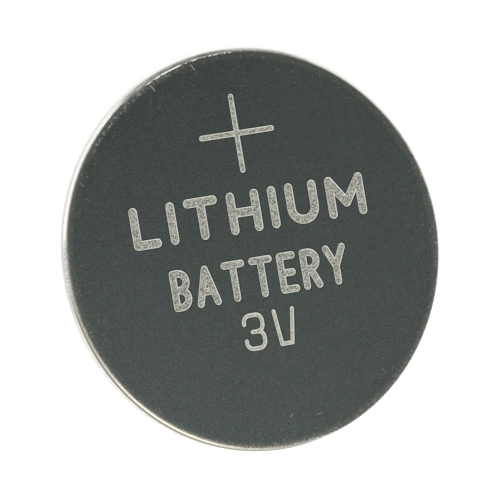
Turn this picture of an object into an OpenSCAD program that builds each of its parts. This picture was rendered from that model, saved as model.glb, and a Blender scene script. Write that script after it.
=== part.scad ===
// Lithium coin cell, 24.5 mm across and 1.2 mm high, lying with its positive face up.
// The origin is the middle of the negative contact face. Z runs through the cell.
// Every sub-part but the mesh is a body of revolution: its half section has the
// radius along x and the height along y.

/* [Cell] */
// Outside diameter of the cell
cell_d = 24.5; // [20:0.1:30]
// Height from the negative contact face to the positive face
cell_h = 1.2; // [1.1:0.05:3.2]
// How far the negative contact face stands below the crimped lip
contact_proud = 0.05; // [0.02:0.01:0.15]

/* [Positive can] */
// Sheet thickness of the can
can_t = 0.18; // [0.15:0.01:0.2]
// Outside radius of the bend from the positive face to the wall
face_bend_r = 0.3; // [0.25:0.01:0.34]
// Outside radius of the bend that crimps the wall's end inwards
crimp_bend_r = 0.35; // [0.28:0.01:0.4]
// Straight length of the crimped lip past its bend
lip_len = 0.6; // [0.4:0.01:0.8]
// Slope of the lip towards the inside of the cell, in degrees
lip_slope = 8; // [0:1:12]

/* [Negative cap] */
// Sheet thickness of the cap
cap_t = 0.18; // [0.15:0.01:0.2]
// Outside radius of the bend round the contact face
cap_bend_r = 0.26; // [0.23:0.01:0.3]
// Concave radius between the cap's wall and its flange
flange_bend_r = 0.08; // [0.05:0.01:0.12]
// Width of the gasket that shows between the cap's wall and the lip's edge
seal_gap = 0.25; // [0.15:0.01:0.4]

/* [Gasket] */
// Gasket wall between the can's wall and the flange's edge
gasket_wall_t = 0.25; // [0.15:0.01:0.35]
// Gasket between the lip's bend and the cap's flange
gasket_lip_t = 0.17; // [0.15:0.01:0.2]
// How far the gasket's foot reaches inwards past the cap's wall
gasket_foot_in = 0.3; // [0.15:0.01:0.4]
// Depth of the gasket's bare face behind the edge of the lip
gasket_recess = 0.04; // [0.02:0.01:0.1]

/* [Electrodes] */
// Thickness of the lithium disc
lithium_t = 0.2; // [0.1:0.01:0.3]
// Space round the lithium disc, inside the cap's wall
lithium_margin = 0.9; // [0.5:0.1:2]
// Thickness of the separator's sheet
separator_t = 0.1; // [0.05:0.01:0.12]
// Inside radius of the separator's turned-up rim
separator_bend_r = 0.06; // [0.03:0.01:0.1]
// Thickness of the mesh that collects current from the pellet
mesh_t = 0.06; // [0.03:0.01:0.1]
// Distance between the mesh's openings
mesh_pitch = 1.7; // [1.6:0.1:2.5]
// Width of the mesh's strands
mesh_strand = 0.35; // [0.25:0.05:0.5]
// Width of the mesh's plain rim
mesh_rim = 0.5; // [0.3:0.1:1]
// Space between the pellet's edge and the mesh's edge
mesh_inset = 0.3; // [0.1:0.1:1]
// Chamfer on the pellet's edges
pellet_chamfer = 0.06; // [0.03:0.01:0.08]
// Running space between the separator and what lies beside it
stack_gap = 0.05; // [0.02:0.01:0.1]

/* [Hidden] */
$fn = 96;
cell_r = cell_d / 2;
can_in_r = cell_r - can_t;
can_floor_z = cell_h - can_t;
crimp_x = cell_r - crimp_bend_r;
crimp_z = contact_proud + crimp_bend_r;
lip_edge_r = crimp_x - lip_len * cos(lip_slope) - crimp_bend_r * sin(lip_slope);
flange_z = contact_proud + can_t + gasket_lip_t;
flange_r = can_in_r - gasket_wall_t;
cap_r = lip_edge_r - seal_gap;
cap_in_r = cap_r - cap_t;
lip_edge_z = crimp_z + lip_len * sin(lip_slope) - crimp_bend_r * cos(lip_slope);
gasket_face_z = lip_edge_z + gasket_recess;
gasket_foot_r = cap_r - gasket_foot_in;
stack_r = min(cap_in_r, gasket_foot_r) - stack_gap;
lithium_r = cap_in_r - lithium_margin;
separator_z = cap_t + lithium_t;
pellet_r = stack_r - separator_t - stack_gap;
pellet_z = separator_z + separator_t;
mesh_z = can_floor_z - mesh_t;
pellet_h = mesh_z - pellet_z;
mesh_r = pellet_r - mesh_inset;

// A rectangle given by two opposite corners
module box2(low, high) {
    translate(low) square(high - low);
}

// A bent strip of sheet: the part of a ring between two directions up to 120 degrees apart
module bend(centre, outside_r, sheet_t, from, to) {
    reach = 2 * outside_r;
    middle = (from + to) / 2;
    translate(centre) intersection() {
        difference() {
            circle(outside_r);
            circle(outside_r - sheet_t);
        }
        polygon([
            [0, 0],
            reach * [cos(from), sin(from)],
            2 * reach * [cos(middle), sin(middle)],
            reach * [cos(to), sin(to)]
        ]);
    }
}

// The can's half section: face, bend, wall, crimp bend and lip
module can_section() {
    box2([0, can_floor_z], [cell_r - face_bend_r, cell_h]);
    bend([cell_r - face_bend_r, cell_h - face_bend_r], face_bend_r, can_t, 0, 90);
    box2([can_in_r, crimp_z], [cell_r, cell_h - face_bend_r]);
    bend([crimp_x, crimp_z], crimp_bend_r, can_t, -90 - lip_slope, 0);
    translate([crimp_x, crimp_z]) rotate(-lip_slope)
        box2([-lip_len, -crimp_bend_r], [0, can_t - crimp_bend_r]);
}

// The cap's half section: contact face, bend, wall, bend and flange
module cap_section() {
    wall_top = flange_z - flange_bend_r;
    box2([0, 0], [cap_r - cap_bend_r, cap_t]);
    bend([cap_r - cap_bend_r, cap_bend_r], cap_bend_r, cap_t, -90, 0);
    box2([cap_in_r, cap_bend_r], [cap_r, wall_top]);
    bend([cap_r + flange_bend_r, wall_top], flange_bend_r + cap_t, cap_t, 90, 180);
    box2([cap_r + flange_bend_r, flange_z], [flange_r, flange_z + cap_t]);
}

// What the gasket fills before the can and the cap take their share
module gasket_space() {
    box2([cap_r, gasket_face_z], [crimp_x, flange_z]);
    translate([crimp_x, crimp_z]) circle(crimp_bend_r - can_t);
    box2([flange_r, crimp_z], [can_in_r, can_floor_z]);
    box2([gasket_foot_r, flange_z + cap_t], [can_in_r, can_floor_z]);
}

module positive_can() {
    color("dimgray") rotate_extrude() can_section();
}

module negative_cap() {
    color("silver") rotate_extrude() cap_section();
}

module gasket() {
    color("ghostwhite") rotate_extrude() difference() {
        gasket_space();
        can_section();
        cap_section();
    }
}

module cathode_pellet() {
    c = pellet_chamfer;
    color("black") translate([0, 0, pellet_z]) rotate_extrude() polygon([
        [0, 0], [pellet_r - c, 0], [pellet_r, c],
        [pellet_r, pellet_h - c], [pellet_r - c, pellet_h], [0, pellet_h]
    ]);
}

// Diamond openings in rows, kept clear of the rim
module mesh_openings() {
    half = (mesh_pitch - mesh_strand) / sqrt(2);
    count = ceil(mesh_r / mesh_pitch);
    for (i = [-count : count], j = [-count : count]) {
        along = (i + j) * mesh_pitch / sqrt(2);
        across = (i - j) * mesh_pitch / sqrt(2);
        if (norm([along, across]) + half < mesh_r - mesh_rim)
            translate([along, across]) rotate(45)
                square(mesh_pitch - mesh_strand, center = true);
    }
}

module cathode_mesh() {
    color("lightgray") translate([0, 0, mesh_z]) linear_extrude(mesh_t) difference() {
        circle(mesh_r);
        mesh_openings();
    }
}

// A shallow cup of non-woven cloth, with its rim turned up round the pellet
module separator() {
    outside_r = separator_bend_r + separator_t;
    color("whitesmoke") rotate_extrude() {
        box2([0, separator_z], [stack_r - outside_r, pellet_z]);
        bend([stack_r - outside_r, separator_z + outside_r], outside_r, separator_t, -90, 0);
        box2([stack_r - separator_t, separator_z + outside_r], [stack_r, mesh_z]);
    }
}

module lithium_anode() {
    color("slategray") translate([0, 0, cap_t]) cylinder(h = lithium_t, r = lithium_r);
}

positive_can();
negative_cap();
gasket();
cathode_pellet();
cathode_mesh();
separator();
lithium_anode();
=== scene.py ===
import math

import bmesh
import bpy
from mathutils import Matrix, Vector


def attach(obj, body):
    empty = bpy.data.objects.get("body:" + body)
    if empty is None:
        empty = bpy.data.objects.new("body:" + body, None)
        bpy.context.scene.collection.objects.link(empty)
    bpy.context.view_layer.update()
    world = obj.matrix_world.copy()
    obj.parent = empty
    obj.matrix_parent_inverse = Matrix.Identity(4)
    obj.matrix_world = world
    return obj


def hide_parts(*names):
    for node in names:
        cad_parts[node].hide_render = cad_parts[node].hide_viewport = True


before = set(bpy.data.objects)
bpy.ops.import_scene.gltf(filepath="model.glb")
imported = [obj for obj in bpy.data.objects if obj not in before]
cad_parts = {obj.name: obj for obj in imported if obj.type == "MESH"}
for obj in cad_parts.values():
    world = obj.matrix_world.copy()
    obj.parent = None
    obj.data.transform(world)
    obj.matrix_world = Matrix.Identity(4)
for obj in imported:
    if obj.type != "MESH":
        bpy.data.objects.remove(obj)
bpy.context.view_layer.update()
print("solids loaded")


# Everything is modelled in millimetres and brought to metres at the end

millimetre = 0.001
closeEnough = 0.004  # for finding a place on a mesh, in millimetres
smoothAngle = math.radians(10)


def closeEdit():
    if bpy.context.mode != "OBJECT":
        bpy.ops.object.mode_set(mode="OBJECT")


def selectOnly(*pieces):
    closeEdit()
    bpy.ops.object.select_all(action="DESELECT")
    for piece in pieces:
        piece.select_set(True)
        bpy.context.view_layer.objects.active = piece


def openPiece(name):
    # names the newest piece and opens it for editing
    piece = bpy.context.object
    piece.name = name
    piece.data.name = name
    bpy.ops.object.mode_set(mode="EDIT")
    return piece


def choose(kind, test):
    # selects only those verts, edges or faces in view for which test holds
    bpy.ops.mesh.select_mode(type={"verts": "VERT", "edges": "EDGE", "faces": "FACE"}[kind])
    bpy.ops.mesh.select_all(action="DESELECT")
    shape = bmesh.from_edit_mesh(bpy.context.edit_object.data)
    for item in getattr(shape, kind):
        if not item.hide and test(item):
            item.select_set(True)
    bmesh.update_edit_mesh(bpy.context.edit_object.data)


def onCircle(radius, height):
    # a test for the edges that lie on a circle round the cell's axis
    def test(edge):
        return all(
            abs(math.hypot(vert.co.x, vert.co.y) - radius) < closeEnough
            and abs(vert.co.z - height) < closeEnough
            for vert in edge.verts
        )

    return test


def extrudeRing(radius, height, newRadius, newHeight):
    choose("edges", onCircle(radius, height))
    bpy.ops.mesh.extrude_region_move(
        TRANSFORM_OT_translate={"value": (0, 0, newHeight - height)}
    )
    grow = newRadius / radius
    bpy.ops.transform.resize(value=(grow, grow, 1), center_override=(0, 0, newHeight))


def bendRing(radius, height, offset, steps):
    choose("edges", onCircle(radius, height))
    bpy.ops.mesh.bevel(
        offset_type="OFFSET", offset=offset, segments=steps, profile=0.5,
        affect="EDGES", clamp_overlap=False,
    )


def useModifier(piece, kind, **settings):
    selectOnly(piece)
    bpy.ops.object.modifier_add(type=kind)
    modifier = piece.modifiers[-1]
    for key, value in settings.items():
        setattr(modifier, key, value)
    bpy.ops.object.modifier_apply(modifier=modifier.name)


def finishPiece(piece, node):
    selectOnly(piece)
    bpy.ops.object.shade_smooth_by_angle(angle=smoothAngle)
    piece.scale = (millimetre, millimetre, millimetre)
    bpy.ops.object.transform_apply(location=True, rotation=True, scale=True)
    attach(piece, "root")
    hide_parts(node)


# The can: one sheet, drawn into a shallow cup and crimped inwards at its end

can = {
    "radius": 12.25,
    "height": 1.2,
    "sheet": 0.18,
    "faceBend": 0.3,
    "crimpBend": 0.35,
    "contactProud": 0.05,
    "lipLength": 0.6,
    "lipSlope": math.radians(8),
    "round": 288,
    "bendSteps": 12,
    "flatRing": 0.06,
}


def lipEdge():
    # radius and height of the lip's edge, on the outside of its sheet
    bend, slope, length = can["crimpBend"], can["lipSlope"], can["lipLength"]
    radius = can["radius"] - bend - length * math.cos(slope) - bend * math.sin(slope)
    height = can["contactProud"] + bend + length * math.sin(slope) - bend * math.cos(slope)
    return radius, height


def makeCan():
    selectOnly()
    radius, height = can["radius"], can["height"]
    bend, slope = can["crimpBend"], can["lipSlope"]
    # where wall and lip would meet if they weren't bent, and how far from there the bend begins
    inwards = bend * (1 + math.sin(slope))
    cornerZ = can["contactProud"] + bend * (1 - math.cos(slope)) - inwards * math.tan(slope)
    bendStart = bend / math.tan((math.pi / 2 - slope) / 2)
    bpy.ops.mesh.primitive_circle_add(
        vertices=can["round"], radius=radius, fill_type="NGON", location=(0, 0, height)
    )
    bpy.ops.object.transform_apply(location=True, rotation=True, scale=True)
    piece = openPiece("stampedCan")
    bpy.ops.mesh.select_all(action="SELECT")
    bpy.ops.mesh.inset(thickness=can["faceBend"] + can["flatRing"])
    extrudeRing(radius, height, radius, cornerZ)
    extrudeRing(radius, cornerZ, *lipEdge())
    bendRing(radius, height, can["faceBend"], can["bendSteps"])
    bendRing(radius, cornerZ, bendStart, can["bendSteps"])
    bpy.ops.mesh.select_all(action="SELECT")
    bpy.ops.mesh.normals_make_consistent(inside=False)
    useModifier(piece, "SOLIDIFY", thickness=can["sheet"], offset=-1, use_even_offset=True)
    return piece


# What is stamped into the face: each stroke is pressed in by a punch with round ends

stamp = {
    "depth": 0.045,
    "wall": 0.07,  # width of the slope round a stroke's floor
    "lip": 0.06,  # width of the face that is drawn down beside a stroke
    "lipDepth": 0.013,
    "spare": 0.4,  # share of the lip by which the punch stands above the face
    "roundSteps": 24,
    "turnStep": 11.25,  # degrees
    "weld": 0.002,
    "sign": {"centre": (-0.02, 7.07), "reachUp": 2.25, "reachSide": 2.31, "width": 0.35},
    "rows": [
        {"words": "LITHIUM", "centre": (-0.05, 2.3), "size": (15.5, 2.6), "stroke": 0.56, "narrow": 1.0},
        {"words": "BATTERY", "centre": (-0.05, -1.75), "size": (11.7, 2.5), "stroke": 0.46, "narrow": 0.66},
        {"words": "3V", "centre": (0.03, -4.95), "size": (3.54, 2.3), "stroke": 0.27, "narrow": 1.0},
    ],
}

# widths of the signs against their height, measured between the middles of the strokes
signWidth = {
    "L": 0.62, "I": 0.0, "T": 0.82, "H": 0.78, "U": 0.76, "M": 0.98, "B": 0.6,
    "A": 0.84, "E": 0.6, "R": 0.62, "Y": 0.8, "3": 0.59, "V": 0.605,
}


def signStrokes(sign, w, h):
    # each stroke: its start, then straight runs to a point or turns about a point, in degrees
    line, turn = "line", "turn"
    u = w * 0.48  # radius of the foot of the U
    b = h / 4  # radius of the bowls
    t = h * 0.2  # radius of the corners of the 3
    upright = [(0, h), (line, 0, 0)]
    topBowl = [(0, h), (line, w - b, h), (turn, w - b, h - b, -180), (line, 0, h / 2)]
    lowBowl = [(0, h / 2), (line, w - b, h / 2), (turn, w - b, b, -180), (line, 0, 0)]
    strokes = {
        "L": [upright, [(0, 0), (line, w, 0)]],
        "I": [upright],
        "T": [[(0, h), (line, w, h)], [(w / 2, h), (line, w / 2, 0)]],
        "H": [upright, [(w, h), (line, w, 0)], [(0, h / 2), (line, w, h / 2)]],
        "U": [
            [
                (0, h), (line, 0, u), (turn, u, u, 90), (line, w - u, 0),
                (turn, w - u, u, 90), (line, w, h),
            ],
        ],
        "M": [
            [(0, 0), (line, 0, h)], [(0, h), (line, w / 2, h * 0.3)],
            [(w / 2, h * 0.3), (line, w, h)], [(w, h), (line, w, 0)],
        ],
        "B": [upright, topBowl, lowBowl],
        "R": [upright, topBowl, [(w * 0.45, h / 2), (line, w, 0)]],
        "A": [
            [(0, 0), (line, w / 2, h)], [(w / 2, h), (line, w, 0)],
            [(w * 0.19, h * 0.34), (line, w * 0.81, h * 0.34)],
        ],
        "E": [
            upright, [(0, h), (line, w, h)],
            [(0, h / 2), (line, w * 0.86, h / 2)], [(0, 0), (line, w, 0)],
        ],
        "Y": [
            [(0, h), (line, w / 2, h * 0.45)], [(w, h), (line, w / 2, h * 0.45)],
            [(w / 2, h * 0.45), (line, w / 2, 0)],
        ],
        "3": [
            [
                (0, h - t * 1.25), (line, 0, h - t), (turn, t, h - t, -90),
                (line, w - t, h), (turn, w - t, h - t, -90), (line, w, h / 2 + t),
                (turn, w - t, h / 2 + t, -90), (line, w * 0.4, h / 2),
            ],
            [
                (w * 0.4, h / 2), (line, w - t, h / 2), (turn, w - t, h / 2 - t, -90),
                (line, w, t), (turn, w - t, t, -90), (line, t, 0),
                (turn, t, t, -90), (line, 0, t * 1.25),
            ],
        ],
        "V": [
            [(0, h), (line, w * 0.18, 0)], [(w * 0.18, 0), (line, w * 0.74, 0)],
            [(w * 0.74, 0), (line, w, h)],
        ],
    }
    return strokes[sign]


def halfDisc(centre, heading, radius, height, front):
    # a disc split across its heading, of which only the front or the back half is kept
    bpy.ops.mesh.primitive_circle_add(
        vertices=stamp["roundSteps"], radius=radius, fill_type="NGON",
        location=(centre[0], centre[1], height), rotation=(0, 0, math.atan2(heading[1], heading[0])),
    )
    if bpy.context.mode == "OBJECT":
        bpy.ops.object.transform_apply(location=True, rotation=True, scale=True)
        openPiece("punch")
    nearSplit = radius * 0.02

    def ahead(vert):
        return (vert.co.x - centre[0]) * heading[0] + (vert.co.y - centre[1]) * heading[1]

    choose("verts", lambda vert: abs(ahead(vert)) < nearSplit)
    bpy.ops.mesh.vert_connect()
    side = -1 if front else 1
    choose("verts", lambda vert: ahead(vert) * side > nearSplit)
    bpy.ops.mesh.delete(type="VERT")
    choose("edges", lambda edge: all(abs(ahead(vert)) < nearSplit for vert in edge.verts))


def sweepBand(path, radius, height):
    # a flat band with round ends, drawn along the path
    here = path[0]
    heading = Vector((path[1][1] - here[0], path[1][2] - here[1])).normalized()
    halfDisc(here, heading, radius, height, False)
    for step in path[1:]:
        if step[0] == "line":
            move = Vector((step[1] - here[0], step[2] - here[1]))
            if move.length > closeEnough:
                heading = move.normalized()
                bpy.ops.mesh.extrude_region_move(TRANSFORM_OT_translate={"value": (move.x, move.y, 0)})
                here = (step[1], step[2])
        else:
            angle = math.radians(step[3])
            # with no window, spin turns clockwise
            bpy.ops.mesh.spin(
                steps=round(abs(step[3]) / stamp["turnStep"]), angle=-angle,
                center=(step[1], step[2], height), axis=(0, 0, 1),
            )
            arm = Vector((here[0] - step[1], here[1] - step[2]))
            arm.rotate(Matrix.Rotation(angle, 2))
            heading.rotate(Matrix.Rotation(angle, 2))
            here = (step[1] + arm.x, step[2] + arm.y)
    # the rest is hidden while the front end is cut
    bpy.ops.mesh.select_all(action="SELECT")
    bpy.ops.mesh.hide(unselected=False)
    halfDisc(here, heading, radius, height, True)
    bpy.ops.mesh.reveal()
    bpy.ops.mesh.select_mode(type="VERT")
    bpy.ops.mesh.select_all(action="SELECT")
    bpy.ops.mesh.remove_doubles(threshold=stamp["weld"])


def makePunchStroke(path, width, faceHeight):
    # a band whose rim is raised above the face, and whose floor is inset and lowered
    selectOnly()
    grow = 1 + stamp["spare"]
    floor = faceHeight - stamp["lipDepth"]
    sweepBand(path, width / 2 + stamp["lip"] * grow, floor)
    bpy.ops.mesh.select_mode(type="FACE")
    bpy.ops.mesh.select_all(action="SELECT")
    bpy.ops.mesh.inset(thickness=stamp["lip"] * grow, use_even_offset=True)
    choose("edges", lambda edge: edge.is_boundary)
    bpy.ops.transform.translate(value=(0, 0, stamp["lipDepth"] * grow))
    bpy.ops.mesh.edge_face_add()
    choose("faces", lambda face: all(abs(vert.co.z - floor) < closeEnough for vert in face.verts))
    bpy.ops.mesh.inset(thickness=stamp["wall"], use_even_offset=True)
    bpy.ops.transform.translate(value=(0, 0, stamp["lipDepth"] - stamp["depth"]))
    bpy.ops.mesh.select_all(action="SELECT")
    bpy.ops.mesh.normals_make_consistent(inside=False)
    closeEdit()
    return bpy.context.object


def makePunchSign(paths, place, width, faceHeight):
    # the strokes of one sign, merged into one solid
    sign = None
    for path in paths:
        moved = [(path[0][0] + place[0], path[0][1] + place[1])]
        moved += [(step[0], step[1] + place[0], step[2] + place[1], *step[3:]) for step in path[1:]]
        stroke = makePunchStroke(moved, width, faceHeight)
        if sign is None:
            sign = stroke
        else:
            useModifier(sign, "BOOLEAN", operation="UNION", object=stroke, solver="EXACT")
            bpy.data.objects.remove(stroke)
    return sign


def makePunch(faceHeight):
    plus = stamp["sign"]
    up, side = plus["reachUp"], plus["reachSide"]
    arms = [[(0, up), ("line", 0, -up)], [(-side, 0), ("line", side, 0)]]
    signs = [makePunchSign(arms, plus["centre"], plus["width"], faceHeight)]
    for row in stamp["rows"]:
        rowWidth, rowHeight = row["size"]
        stroke = row["stroke"]
        h = rowHeight - stroke
        widths = [signWidth[sign] * h * row["narrow"] for sign in row["words"]]
        between = (rowWidth - sum(widths) - stroke) / (len(widths) - 1)
        x = row["centre"][0] - rowWidth / 2 + stroke / 2
        y = row["centre"][1] - h / 2
        for sign, w in zip(row["words"], widths):
            signs.append(makePunchSign(signStrokes(sign, w, h), (x, y), stroke, faceHeight))
            x += w + between
    selectOnly(*reversed(signs))
    bpy.ops.object.join()
    return signs[0]


canPiece = makeCan()
print("can drawn")
punchPiece = makePunch(can["height"])
print("punch made")
useModifier(canPiece, "BOOLEAN", operation="DIFFERENCE", object=punchPiece, solver="EXACT")
bpy.data.objects.remove(punchPiece)
finishPiece(canPiece, "positive_can")
print("face stamped:", len(canPiece.data.polygons), "faces")


# The cap: the smaller dish at the back, its flange held in the crimp

cap = {
    "sheet": 0.18,
    "faceBend": 0.26,
    "flangeBend": 0.08,
    # the gasket between cap and can: as it shows, at the can's wall and behind the lip
    "gasketShown": 0.25,
    "gasketWall": 0.25,
    "gasketLip": 0.17,
    "round": 288,
    "bendSteps": 10,
    "flangeSteps": 6,
    "flatRing": 0.06,
}


def makeCap():
    selectOnly()
    radius = lipEdge()[0] - cap["gasketShown"]
    flangeRadius = can["radius"] - can["sheet"] - cap["gasketWall"]
    flangeHeight = can["contactProud"] + can["sheet"] + cap["gasketLip"]
    bpy.ops.mesh.primitive_circle_add(vertices=cap["round"], radius=radius, fill_type="NGON")
    piece = openPiece("contactCap")
    bpy.ops.mesh.select_all(action="SELECT")
    bpy.ops.mesh.flip_normals()
    bpy.ops.mesh.inset(thickness=cap["faceBend"] + cap["flatRing"])
    extrudeRing(radius, 0, radius, flangeHeight)
    extrudeRing(radius, flangeHeight, flangeRadius, flangeHeight)
    bendRing(radius, 0, cap["faceBend"], cap["bendSteps"])
    bendRing(radius, flangeHeight, cap["flangeBend"], cap["flangeSteps"])
    bpy.ops.mesh.select_all(action="SELECT")
    useModifier(piece, "SOLIDIFY", thickness=cap["sheet"], offset=-1, use_even_offset=True)
    finishPiece(piece, "negative_cap")
    return piece


capPiece = makeCap()
print("cap drawn")


# Finishes

class Wire:
    # an output of a node that can be used in arithmetic
    def __init__(self, nodes, socket):
        self.nodes = nodes
        self.socket = socket

    def __add__(self, other):
        return self.nodes.math("ADD", self, other)

    def __radd__(self, other):
        return self.nodes.math("ADD", other, self)

    def __sub__(self, other):
        return self.nodes.math("SUBTRACT", self, other)

    def __rsub__(self, other):
        return self.nodes.math("SUBTRACT", other, self)

    def __mul__(self, other):
        return self.nodes.math("MULTIPLY", self, other)

    def __rmul__(self, other):
        return self.nodes.math("MULTIPLY", other, self)

    def __truediv__(self, other):
        return self.nodes.math("DIVIDE", self, other)

    def __rtruediv__(self, other):
        return self.nodes.math("DIVIDE", other, self)

    def __pow__(self, other):
        return self.nodes.math("POWER", self, other)


class Nodes:
    # the nodes of a material or of the world
    def __init__(self, tree):
        self.tree = tree

    def node(self, kind, settings, inputs, output=0):
        made = self.tree.nodes.new(kind)
        for key, value in settings.items():
            setattr(made, key, value)
        for key, value in inputs.items():
            if isinstance(value, Wire):
                self.tree.links.new(value.socket, made.inputs[key])
            else:
                made.inputs[key].default_value = value
        return Wire(self, made.outputs[output])

    def math(self, operation, *values):
        return self.node("ShaderNodeMath", {"operation": operation}, dict(enumerate(values)))

    def least(self, a, b):
        return self.math("MINIMUM", a, b)

    def most(self, a, b):
        return self.math("MAXIMUM", a, b)

    def sqrt(self, value):
        return self.math("SQRT", value)

    def rise(self, value, start, end):
        # 0 below start, 1 above end, with a soft step between them
        return self.node(
            "ShaderNodeMapRange", {"interpolation_type": "SMOOTHSTEP"},
            {"Value": value, "From Min": start, "From Max": end, "To Min": 0.0, "To Max": 1.0},
        )

    def fall(self, value, start, end):
        return 1 - self.rise(value, start, end)

    def band(self, value, middle, half):
        # 1 where value is at the middle, fading to 0 on both sides
        return self.rise(value, middle - half, middle) * self.fall(value, middle, middle + half)

    def mix(self, factor, a, b, blend="MIX"):
        # sockets 6 and 7 and output 2 are those for colours
        a = (*a, 1) if isinstance(a, tuple) else a
        b = (*b, 1) if isinstance(b, tuple) else b
        settings = {"data_type": "RGBA", "blend_type": blend}
        return self.node("ShaderNodeMix", settings, {0: factor, 6: a, 7: b}, 2)

    def pile(self, x, y, z):
        return self.node("ShaderNodeCombineXYZ", {}, {0: x, 1: y, 2: z})

    def background(self):
        # 1 for rays that show the background, in view or in a reflection
        path = "ShaderNodeLightPath"
        mirrored = self.node(path, {}, {}, "Is Glossy Ray")
        through = self.node(path, {}, {}, "Is Transmission Ray")
        return self.most(self.node(path, {}, {}, "Is Camera Ray"), self.most(mirrored, through))


class Finish(Nodes):
    # a material, with the place on the piece in millimetres, as the pieces were modelled
    def __init__(self, name, surface):
        self.material = bpy.data.materials.new(name)
        self.material.use_nodes = True
        super().__init__(self.material.node_tree)
        self.shader = self.tree.nodes["Principled BSDF"]
        for key, value in surface.items():
            self.shader.inputs[key].default_value = value
        place = self.node("ShaderNodeTexCoord", {}, {}, "Object")
        scale = {0: place, "Scale": 1 / millimetre}
        self.place = self.node("ShaderNodeVectorMath", {"operation": "SCALE"}, scale)
        self.x, self.y, self.z = (
            self.node("ShaderNodeSeparateXYZ", {}, {0: self.place}, axis) for axis in "XYZ"
        )
        self.outwards = self.sqrt(self.x * self.x + self.y * self.y)

    def feed(self, name, wire):
        self.tree.links.new(wire.socket, self.shader.inputs[name])

    def feedBump(self, height, strength, depth):
        sizes = {"Strength": strength, "Distance": depth * millimetre, "Height": height}
        self.feed("Normal", self.node("ShaderNodeBump", {}, sizes))

    def noise(self, scale, detail=2.0, where=None, output="Fac", rough=0.5):
        values = {"Vector": where or self.place, "Scale": scale, "Detail": detail, "Roughness": rough}
        return self.node("ShaderNodeTexNoise", {}, values, output)

    def spots(self, scale, inner, outer):
        # 1 in small round spots, fading to 0 at outer, which is a share of their spacing
        values = {"Vector": self.place, "Scale": scale}
        return self.fall(self.node("ShaderNodeTexVoronoi", {}, values, "Distance"), inner, outer)

    def squeeze(self, x, y, z):
        # the place, stretched along the axes
        return self.node("ShaderNodeVectorMath", {"operation": "MULTIPLY"}, {0: self.place, 1: (x, y, z)})

    def swept(self, turns, third):
        # for patterns that run round the cell's axis, with no seam
        return self.pile(self.x / self.outwards * turns, self.y / self.outwards * turns, third)

    def facing(self, azimuth):
        # 1 on the side of the cell turned to this azimuth, 0 a quarter turn on, -1 opposite
        turn = math.radians(azimuth)
        return (self.x * math.cos(turn) + self.y * math.sin(turn)) / self.outwards

    def side(self, azimuth, start, end):
        # 1 on the part of the cell turned to this azimuth; start and end are values of facing
        return self.rise(self.facing(azimuth), start, end)

    def apart(self, point):
        # how far from a place on the face
        dx, dy = self.x - point[0], self.y - point[1]
        return self.sqrt(dx * dx + dy * dy)

    def scratch(self, start, end, width):
        # 1 on a straight scratch between two places on the face, fading to 0 at its sides
        dx, dy = end[0] - start[0], end[1] - start[1]
        size = math.hypot(dx, dy)
        dx, dy = dx / size, dy / size
        px = self.x - start[0]
        py = self.y - start[1]
        along = px * dx + py * dy
        across = px * dy - py * dx
        beyond = self.most(self.most(0 - along, along - size), 0)
        return self.fall(self.sqrt(across * across + beyond * beyond), width * 0.2, width)


def paint(piece, finish):
    piece.data.materials.clear()
    piece.data.materials.append(finish.material)


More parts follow.
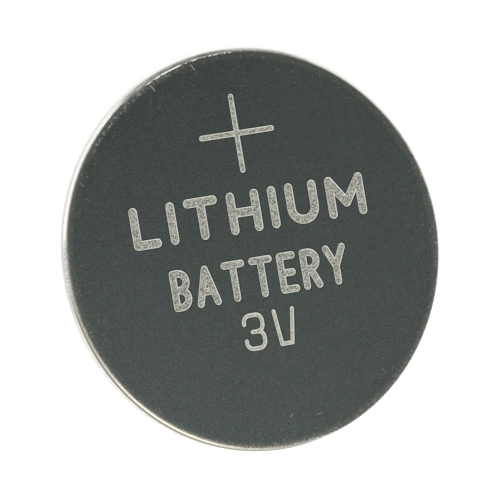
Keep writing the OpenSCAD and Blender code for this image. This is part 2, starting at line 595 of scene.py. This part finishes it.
stampedNickel = {
    "roughness": 0.36,
    # the face, its dark tone a painted dark reflection, and its browner edge, a painted reflection where
    # the face starts to curve: how wide that edge is, how much it wavers and where it is wider
    "face": (0.0635, 0.0745, 0.07),
    "faceEdge": (0.087, 0.094, 0.081),
    "edgeWidth": 0.3,
    "edgeWaver": 0.5,
    "edgeWider": 0.22,
    # strength of the coloured grain, the grey grain and the clouds
    "tint": 0.22,
    "grain": 1.58,
    "grainFall": 0.025,  # weaker by this for each millimetre towards the upper right
    "cloud": 0.14,
    # painted light: brightness in the middle of the face, and how it falls along x, along y and along both,
    # lightest towards the low lamp's side
    "level": 1.005,
    "levelFall": (0.003, 0.019),
    "levelTwist": 0.001,
    # few specks all over and more of them near the edge
    "specks": {
        "scale": 1.3, "size": (0.02, 0.05), "patches": (0.42, 0.6),
        "strength": 0.25, "colour": (0.5, 0.52, 0.5),
    },
    "edgeSpecks": {
        "scale": 3.6, "size": (0.1, 0.25), "patches": (0.42, 0.62),
        "strength": 0.3, "colour": (0.42, 0.43, 0.39),
    },
    "edgeSpecksReach": 1.75,
    # the stamped strokes: their bright slopes are painted highlights, their dark lip painted shade
    "stampWall": (0.7, 0.7, 0.635),
    "stampLip": (0.028, 0.033, 0.029),
    "floorDark": (0.15, 0.152, 0.13),
    "floorLight": (0.54, 0.545, 0.475),
    "brighterBelow": -3.5,  # the strokes below this are brighter
    "pit": {"centre": (0.04, 9.2), "radius": 0.05, "colour": (0.02, 0.02, 0.02)},
    # the bend round the face and the wall, whose light and dark parts are painted reflections: painted
    # highlights and painted shade
    "bendTop": (0.108, 0.114, 0.1),
    "bright": (0.88, 0.87, 0.83),
    "cream": (0.5, 0.48, 0.41),
    "dull": (0.6, 0.595, 0.56),
    "shade": (0.16, 0.15, 0.115),
    "wallLine": (0.36, 0.36, 0.345),
    "farWall": (0.6, 0.6, 0.575),
    "crimp": (0.46, 0.46, 0.445),
    # where the edge was rubbed: worn streaks with a painted sheen, a painted highlight along the edge, and
    # a smear
    "wornSheen": (0.19, 0.19, 0.165),
    "wornSheenLight": (0.36, 0.36, 0.33),
    "smear": (0.31, 0.345, 0.34),
    "edgeHighlight": (0.98, 0.98, 0.95),
    # how far down the rim its light begins, and how much later towards the left and the right
    "brightStart": -0.03,
    "leftDelay": 0.18,
    "leftTowards": 160,
    "rightDelay": 0.225,
    "rightTowards": 308,
    "clearEarlier": 0.02,  # by this on the side named clear
    # over what width the light begins and how rough its edge is, and what some sides add to that
    "brightSoft": 0.2,
    "softer": {"gentle": 0.13, "grey": 0.15},
    "brightRough": 0.06,
    "rougher": {"gentle": 0.4, "low": 0.14, "grey": 0.2},
    # parts of the rim where its painted light and shade differ: the azimuth each is turned to, and the
    # values of facing where it starts and is full
    "sides": {
        "wideEdge": (60, 0.0, 0.7),  # the face's browner edge is wider
        "early": (240, 0.62, 0.85),  # not delayed towards the right
        "clear": (32, 0.85, 0.97),  # light without streaks
        "low": (232, 0.62, 0.78),  # a painted cream highlight over a painted brown shade line
        "pale": (158, 0.6, 0.9),  # plain light over a grey line
        "gentle": (315, 0.0, 0.8),  # light that grows slowly, among flecks
        "grey": (96, 0.8, 0.93),  # greyer light
        "greyReflection": (180, 0.972, 0.995),  # a grey painted reflection
        "far": (15, -0.25, 0.2),  # turned away from the camera
        "wornSheen": (107, 0.94, 0.97),  # a painted sheen in worn streaks
        "line": (102, 0.965, 0.975),  # a painted highlight along the edge
        "whole": (108, 0.9955, 0.999),  # the part of that line with fewer breaks
        "smear": (124, 0.93, 0.98),  # smeared face beside it
    },
    # lines along the rim, painted reflection and shade, and the smear on the face beside it: how far down
    # their middle is, and half their width
    "lines": {
        "brown": (0.4, 0.15),
        "grey": (0.77, 0.13),
        "farUpper": (0.6, 0.15),
        "farLower": (0.86, 0.1),
        "wornSheenDark": (0.155, 0.045),
        "smear": (-0.1, 0.2),
    },
    # where each runs from and to, half its width and how bright it is
    "nicks": [
        ((-5.03, 10.67), (-4.83, 10.36), 0.05, 0.5),
        ((-2.25, 11.56), (-2.05, 11.24), 0.045, 0.5),
    ],
    # scratches on the face, each painted lighter as a glint
    "glintScratches": [
        ((0.1, 9.98), (1.3, 9.8), 0.045, 0.06),
        ((1.05, 10.3), (1.23, 10.04), 0.05, 0.08),
        ((0.24, 10.53), (0.27, 10.5), 0.07, 0.1),
        ((2.03, 10.68), (2.06, 10.65), 0.06, 0.12),
        ((-10.5, 5.55), (-10.3, 5.3), 0.05, 0.2),
        ((0.41, -10.36), (0.57, -10.26), 0.07, 0.25),
        ((2.17, -10.53), (2.54, -10.48), 0.055, 0.2),
        ((-0.05, -11.53), (-0.02, -11.5), 0.07, 0.15),
        ((-1.0, -11.73), (-0.63, -12.01), 0.055, 0.3),
    ],
}


class CanFinish(Finish):
    # the can's finish: the places and grains that its parts share, and each part by itself
    def __init__(self):
        v = stampedNickel
        super().__init__("stampedNickel", {"Metallic": 1.0, "Roughness": v["roughness"]})
        bendEnd = can["height"] - can["faceBend"]
        onTop = self.rise(self.z, bendEnd, bendEnd + 0.1)
        # from the edge of the flat face: past goes straight out, down follows bend and wall
        self.past = self.outwards - (can["radius"] - can["faceBend"])
        turned = self.math("ARCTAN2", self.most(self.past, 0), self.most(self.z - bendEnd, 0))
        wall = self.most(bendEnd - self.z, 0)
        self.down = self.least(self.past, 0) * onTop + turned * can["faceBend"] + wall
        self.onBend = self.rise(self.down, 0.0, 0.1)
        self.sides = {name: self.side(*place) for name, place in v["sides"].items()}
        self.lines = {name: self.band(self.down, *place) for name, place in v["lines"].items()}
        # how deep a place is stamped: the drawn lip, the slope with the floor, and the floor alone
        depth = can["height"] - self.z
        onFace = self.fall(self.past, -0.25, -0.15) * onTop
        self.lip = self.rise(depth, 0.0005, 0.002) * onFace
        self.pressed = self.rise(depth, stamp["lipDepth"], stamp["lipDepth"] + 0.006) * onFace
        self.floor = self.rise(depth, stamp["depth"] - 0.012, stamp["depth"] - 0.003) * onFace
        self.grain = self.noise(14.0, 1.0, rough=0.6)
        self.fine = self.noise(9.0)
        self.stipple = self.noise(11.0, rough=0.6)
        self.blotch = self.noise(2.5, 3.0)
        self.cloud = self.noise(0.3, 3.0)
        self.streaks = self.noise(3.0, 3.0, self.swept(9.0, self.down * 0.6))

    def specked(self, colour, specks, where):
        # small bright specks in patches
        patches = self.rise(self.blotch, *specks["patches"]) * where
        spots = self.spots(specks["scale"], *specks["size"])
        return self.mix(spots * patches * specks["strength"], colour, specks["colour"])

    def flatFace(self):
        v = stampedNickel
        # painted reflection: the face is dark and its edge browner as they mirror the surroundings; the
        # nickel itself is bright
        wider = self.sides["wideEdge"] * v["edgeWider"]
        edge = self.past + (self.blotch - 0.5) * v["edgeWaver"] + wider
        face = self.mix(self.rise(edge, -v["edgeWidth"], 0.0), v["face"], v["faceEdge"])
        tints = self.noise(2.2, 3.0, output="Color", rough=0.6)
        face = self.mix(v["tint"], face, tints, "OVERLAY")
        grain = (self.grain - 0.5) * (v["grain"] - (self.x + self.y) * v["grainFall"])
        # painted light: the face is lighter towards the low lamp's side
        fallX, fallY = v["levelFall"]
        paintedLight = v["level"] - self.x * fallX - self.y * (fallY - self.x * v["levelTwist"])
        level = paintedLight + grain + (self.cloud - 0.5) * v["cloud"]
        face = self.mix(1.0, face, self.pile(level, level, level), "MULTIPLY")
        nearEdge = self.rise(self.past + (self.cloud - 0.5) * 4, -v["edgeSpecksReach"], -0.05)
        face = self.specked(face, v["specks"], 1)
        face = self.specked(face, v["edgeSpecks"], nearEdge)
        # scratches painted as glints
        for start, end, width, light in v["glintScratches"]:
            mark = self.scratch(start, end, width) * self.rise(self.grain, 0.3, 0.55)
            face = self.mix(mark * light, face, v["dull"])
        return face

    def litRim(self, face):
        # the face's tone runs on over the bend, up to where the light begins
        v, sides = stampedNickel, self.sides
        left = self.most(self.facing(v["leftTowards"]), 0) ** 2 * v["leftDelay"]
        right = self.most(self.facing(v["rightTowards"]), 0) ** 1.2 * v["rightDelay"]
        right = right * (1 - sides["early"])
        start = left + right - sides["clear"] * v["clearEarlier"] + v["brightStart"]
        soft = sum((sides[name] * more for name, more in v["softer"].items()), v["brightSoft"])
        rough = sum((sides[name] * more for name, more in v["rougher"].items()), v["brightRough"])
        lit = self.rise(self.down - start + (self.fine - 0.5) * rough, 0.0, soft)
        streaked = self.rise(self.streaks, 0.35, 0.75) * 0.6 * (1 - sides["pale"]) * (1 - sides["clear"])
        bright = self.mix(streaked, v["bright"], v["dull"])
        # a painted cream highlight on the low side
        bright = self.mix(sides["low"] * self.fall(self.down, 0.4, 0.7), bright, v["cream"])
        bright = self.mix(sides["grey"] * 0.6, bright, v["dull"])
        flecks = self.rise(self.noise(6.0, 3.0, rough=0.7), 0.5, 0.62)
        flecks = flecks * self.rise(self.past, -0.2, 0.05) * sides["gentle"]
        edge = self.mix(self.onBend, face, v["bendTop"])
        edge = self.mix(flecks * 0.4, edge, v["wornSheenLight"])
        return self.mix(lit, edge, bright)

    def bandedWall(self, colour):
        # painted shade: a brown line under the light and a grey one half way down the wall
        v, sides, lines = stampedNickel, self.sides, self.lines
        colour = self.mix(lines["brown"] * sides["low"], colour, v["shade"])
        colour = self.mix(lines["grey"] * sides["pale"] * 0.9, colour, v["wallLine"])
        # a grey painted reflection in patches
        greyReflection = sides["greyReflection"] * self.rise(self.down, 0.05, 0.25) * self.fall(self.down, 0.45, 1.0)
        colour = self.mix(greyReflection * self.rise(self.fine, 0.2, 0.7), colour, v["wallLine"])
        # the far side, greyer and with darker bands of painted reflection
        greyer = self.rise(self.down, 0.42, 0.55) * (0.6 + self.streaks * 0.5)
        colour = self.mix(greyer * sides["far"], colour, v["farWall"])
        darker = lines["farUpper"] * 0.75 + lines["farLower"] * 0.5
        colour = self.mix(darker * sides["far"], colour, v["wallLine"])
        # painted shade: darker towards the crimp, which mirrors the shaded floor beside it
        return self.mix(self.fall(self.z, 0.3, 0.5) * 0.9, colour, v["crimp"])

    def wornEdgeSheen(self, colour):
        # worn grey streaks outside the edge carrying a painted sheen, a dark line among them and a broken
        # painted highlight along the edge
        v, sides, lines = stampedNickel, self.sides, self.lines
        along = self.noise(3.0, 3.0, self.swept(6.0, self.down * 3.5))
        streaked = self.mix(self.rise(along, 0.4, 0.6), v["wornSheen"], v["wornSheenLight"])
        outside = self.rise(self.down, 0.0, 0.05) * self.fall(self.down, 0.25, 0.48)
        colour = self.mix(outside * sides["wornSheen"], colour, streaked)
        colour = self.mix(lines["wornSheenDark"] * sides["wornSheen"] * 0.75, colour, v["face"])
        dashes = self.noise(1.0, 4.0, self.swept(36.0, self.outwards * 0.5), rough=0.85)
        broken = self.rise(dashes + sides["whole"] * 0.12, 0.51, 0.53)
        line = self.rise(self.down, -0.01, 0.015) * self.fall(self.down, 0.06, 0.09)
        colour = self.mix(line * sides["line"] * broken, colour, v["edgeHighlight"])
        # a smear on the face beside it
        smear = self.rise(self.noise(5.0, 4.0, rough=0.75), 0.47, 0.6) * sides["smear"]
        colour = self.mix(smear * lines["smear"] * 0.7, colour, v["smear"])
        for start, end, width, light in v["nicks"]:
            colour = self.mix(self.scratch(start, end, width) * light, colour, v["dull"])
        return colour

    def stampedStrokes(self, colour):
        # bright slopes, painted highlights, round a stippled floor, with a dark lip round them in painted
        # shade
        v = stampedNickel
        floor = self.mix(self.rise(self.stipple, 0.36, 0.64), v["floorDark"], v["floorLight"])
        brighterRow = self.fall(self.y, v["brighterBelow"] - 0.1, v["brighterBelow"] + 0.1)
        floor = self.mix(brighterRow * 0.3, floor, v["stampWall"])
        wall = self.mix(self.rise(self.stipple, 0.3, 0.5) * 0.7 + 0.3, v["floorLight"], v["stampWall"])
        marks = self.mix(self.floor, wall, floor)
        pit = v["pit"]
        inPit = self.fall(self.apart(pit["centre"]), pit["radius"] * 0.7, pit["radius"] * 1.3)
        marks = self.mix(inPit, marks, pit["colour"])
        return self.mix(self.pressed, self.mix(self.lip, colour, v["stampLip"]), marks)


def makeStampedNickel():
    f = CanFinish()
    colour = f.wornEdgeSheen(f.bandedWall(f.litRim(f.flatFace())))
    f.feed("Base Color", f.stampedStrokes(colour))
    shinier = f.onBend * 0.12 * (1 - f.sides["low"])
    f.feed("Roughness", stampedNickel["roughness"] + f.pressed * 0.12 - shinier)
    f.feedBump(f.grain + f.floor * f.stipple + f.onBend * (f.streaks + f.grain), 0.25, 0.01)
    return f


plainNickel = {
    "light": (0.62, 0.61, 0.58),
    "ring": (0.5, 0.5, 0.475),
    "dull": (0.4, 0.4, 0.38),
    "roughness": 0.26,
}


def makePlainNickel():
    v = plainNickel
    f = Finish("plainNickel", {"Metallic": 1.0, "Roughness": v["roughness"]})
    rings = f.noise(5.0, 4.0, f.swept(0.3, f.outwards * 3.0))
    colour = f.mix(f.rise(rings, 0.3, 0.7) * 0.5, v["light"], v["ring"])
    f.feed("Base Color", f.mix(f.rise(f.noise(7.0, 3.0), 0.4, 0.8) * 0.25, colour, v["dull"]))
    f.feed("Roughness", v["roughness"] + rings * 0.1)
    f.feedBump(rings, 0.2, 0.01)
    return f


sealPlastic = {"clear": (0.62, 0.62, 0.57), "milky": (0.72, 0.72, 0.68), "roughness": 0.45}


def makeSealPlastic():
    v = sealPlastic
    f = Finish("sealPlastic", {"Roughness": v["roughness"]})
    f.feed("Base Color", f.mix(f.noise(1.2, 3.0), v["clear"], v["milky"]))
    return f


pressedPowder = {"dark": (0.006, 0.006, 0.007), "light": (0.03, 0.03, 0.032), "roughness": 0.85}


def makePressedPowder():
    v = pressedPowder
    f = Finish("pressedPowder", {"Roughness": v["roughness"]})
    grains = f.noise(16.0, 4.0, rough=0.7)
    f.feed("Base Color", f.mix(f.rise(grains, 0.3, 0.7), v["dark"], v["light"]))
    f.feedBump(grains, 0.4, 0.02)
    return f


meshSteel = {"dark": (0.4, 0.4, 0.39), "light": (0.58, 0.58, 0.57), "roughness": 0.35}


def makeMeshSteel():
    v = meshSteel
    f = Finish("meshSteel", {"Metallic": 1.0, "Roughness": v["roughness"]})
    f.feed("Base Color", f.mix(f.noise(8.0, 3.0), v["dark"], v["light"]))
    return f


feltCloth = {"dark": (0.62, 0.62, 0.6), "light": (0.86, 0.86, 0.84), "roughness": 0.9}


def makeFeltCloth():
    v = feltCloth
    f = Finish("feltCloth", {"Roughness": v["roughness"]})
    threadsX = f.noise(4.0, 3.0, f.squeeze(1.0, 6.0, 6.0))
    threadsY = f.noise(4.0, 3.0, f.squeeze(6.0, 1.0, 6.0))
    threads = f.most(threadsX, threadsY)
    f.feed("Base Color", f.mix(threads, v["dark"], v["light"]))
    f.feedBump(threads, 0.4, 0.03)
    return f


softLithium = {"light": (0.36, 0.37, 0.39), "dark": (0.22, 0.225, 0.24), "roughness": 0.45}


def makeSoftLithium():
    v = softLithium
    f = Finish("softLithium", {"Metallic": 1.0, "Roughness": v["roughness"]})
    cloud = f.noise(0.9, 4.0, rough=0.65)
    f.feed("Base Color", f.mix(f.rise(cloud, 0.35, 0.7), v["light"], v["dark"]))
    f.feed("Roughness", v["roughness"] + cloud * 0.25)
    return f


paint(canPiece, makeStampedNickel())
paint(capPiece, makePlainNickel())
for node, make in {
    "gasket": makeSealPlastic,
    "cathode_pellet": makePressedPowder,
    "cathode_mesh": makeMeshSteel,
    "separator": makeFeltCloth,
    "lithium_anode": makeSoftLithium,
}.items():
    paint(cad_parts[node], make())
print("finishes made")


# Floor, light and camera, in metres

studio = {
    "worldLight": 0.68,
    "worldColour": (0.8, 0.8, 0.8, 1),
    "floorColour": (0.82, 0.82, 0.82, 1),
    "floorGlow": 0.55,
    "floorSize": 4,
    "floorDrop": 0.00002,  # so that it doesn't lie in the contact's face
    "lowLamp": {"power": 0.88, "size": (0.55, 0.2), "turn": 251, "rise": 24, "away": 0.5},
    "farLamp": {"power": 0.25, "size": (0.3, 0.15), "turn": 108, "rise": 26, "away": 0.5},
}


def makeFloor():
    selectOnly()
    bpy.ops.mesh.primitive_plane_add(size=studio["floorSize"], location=(0, 0, -studio["floorDrop"]))
    floor = bpy.context.object
    floor.name = "floor"
    f = Finish("paleFloor", {
        "Base Color": studio["floorColour"], "Roughness": 0.9, "Specular IOR Level": 0.0,
        "Emission Strength": studio["floorGlow"],
    })
    f.feed("Emission Color", f.mix(f.background(), (0, 0, 0), (1, 1, 1)))
    paint(floor, f)


def makeWorld():
    world = bpy.data.worlds.new("studio")
    bpy.context.scene.world = world
    world.use_nodes = True
    f = Nodes(world.node_tree)
    f.tree.nodes.clear()
    kind = "ShaderNodeBackground"
    light = f.node(kind, {}, {"Color": studio["worldColour"], "Strength": studio["worldLight"]})
    white = f.node(kind, {}, {"Color": (1, 1, 1, 1), "Strength": 1.0})
    both = f.node("ShaderNodeMixShader", {}, {0: f.background(), 1: light, 2: white})
    out = f.tree.nodes.new("ShaderNodeOutputWorld")
    f.tree.links.new(both.socket, out.inputs["Surface"])


def makeLamp(name, power, size, turn, rise, away):
    data = bpy.data.lights.new(name, "AREA")
    data.shape = "RECTANGLE"
    data.size, data.size_y = size
    data.energy = power
    lamp = bpy.data.objects.new(name, data)
    bpy.context.scene.collection.objects.link(lamp)
    turn, rise = math.radians(turn), math.radians(rise)
    level = Vector((math.cos(turn), math.sin(turn), 0)) * math.cos(rise)
    lamp.location = (level + Vector((0, 0, math.sin(rise)))) * away
    lamp.rotation_euler = (-lamp.location).to_track_quat("-Z", "Y").to_euler()


makeFloor()
makeWorld()
makeLamp("lowLamp", **studio["lowLamp"])
makeLamp("farLamp", **studio["farLamp"])

# tilt is measured from straight above, turn round the cell, imageTurn in the picture
eye = {
    "tilt": 22.6,
    "turn": 180.55,
    "imageTurn": 190.0,
    "away": 0.26,
    "pixelsPerMetre": 16490,
    "pictureWidth": 500,
    "aim": (0.0, 0.0, 0.0006),
    "shift": (-0.0051, -0.0018),
    "clip": (0.01, 20),
}


def makeCamera():
    tilt, turn, imageTurn = (math.radians(eye[key]) for key in ("tilt", "turn", "imageTurn"))
    side = Vector((math.cos(turn), math.sin(turn), 0))
    towards = side * math.sin(tilt) + Vector((0, 0, math.cos(tilt)))
    lean = (side - towards * side.dot(towards)).normalized()
    across = lean.cross(towards)
    # lean is seen at imageTurn, across a quarter turn clockwise from it
    right = lean * math.cos(imageTurn) + across * math.cos(imageTurn - math.pi / 2)
    up = lean * math.sin(imageTurn) + across * math.sin(imageTurn - math.pi / 2)
    data = bpy.data.cameras.new("eye")
    data.lens = data.sensor_width * eye["away"] * eye["pixelsPerMetre"] / eye["pictureWidth"]
    data.clip_start, data.clip_end = eye["clip"]
    data.shift_x, data.shift_y = eye["shift"]
    camera = bpy.data.objects.new("eye", data)
    bpy.context.scene.collection.objects.link(camera)
    place = Vector(eye["aim"]) + towards * eye["away"]
    camera.matrix_world = Matrix.Translation(place) @ Matrix((right, up, towards)).transposed().to_4x4()
    bpy.context.scene.camera = camera


makeCamera()
bpy.context.scene.view_settings.view_transform = "Standard"
print("studio ready")
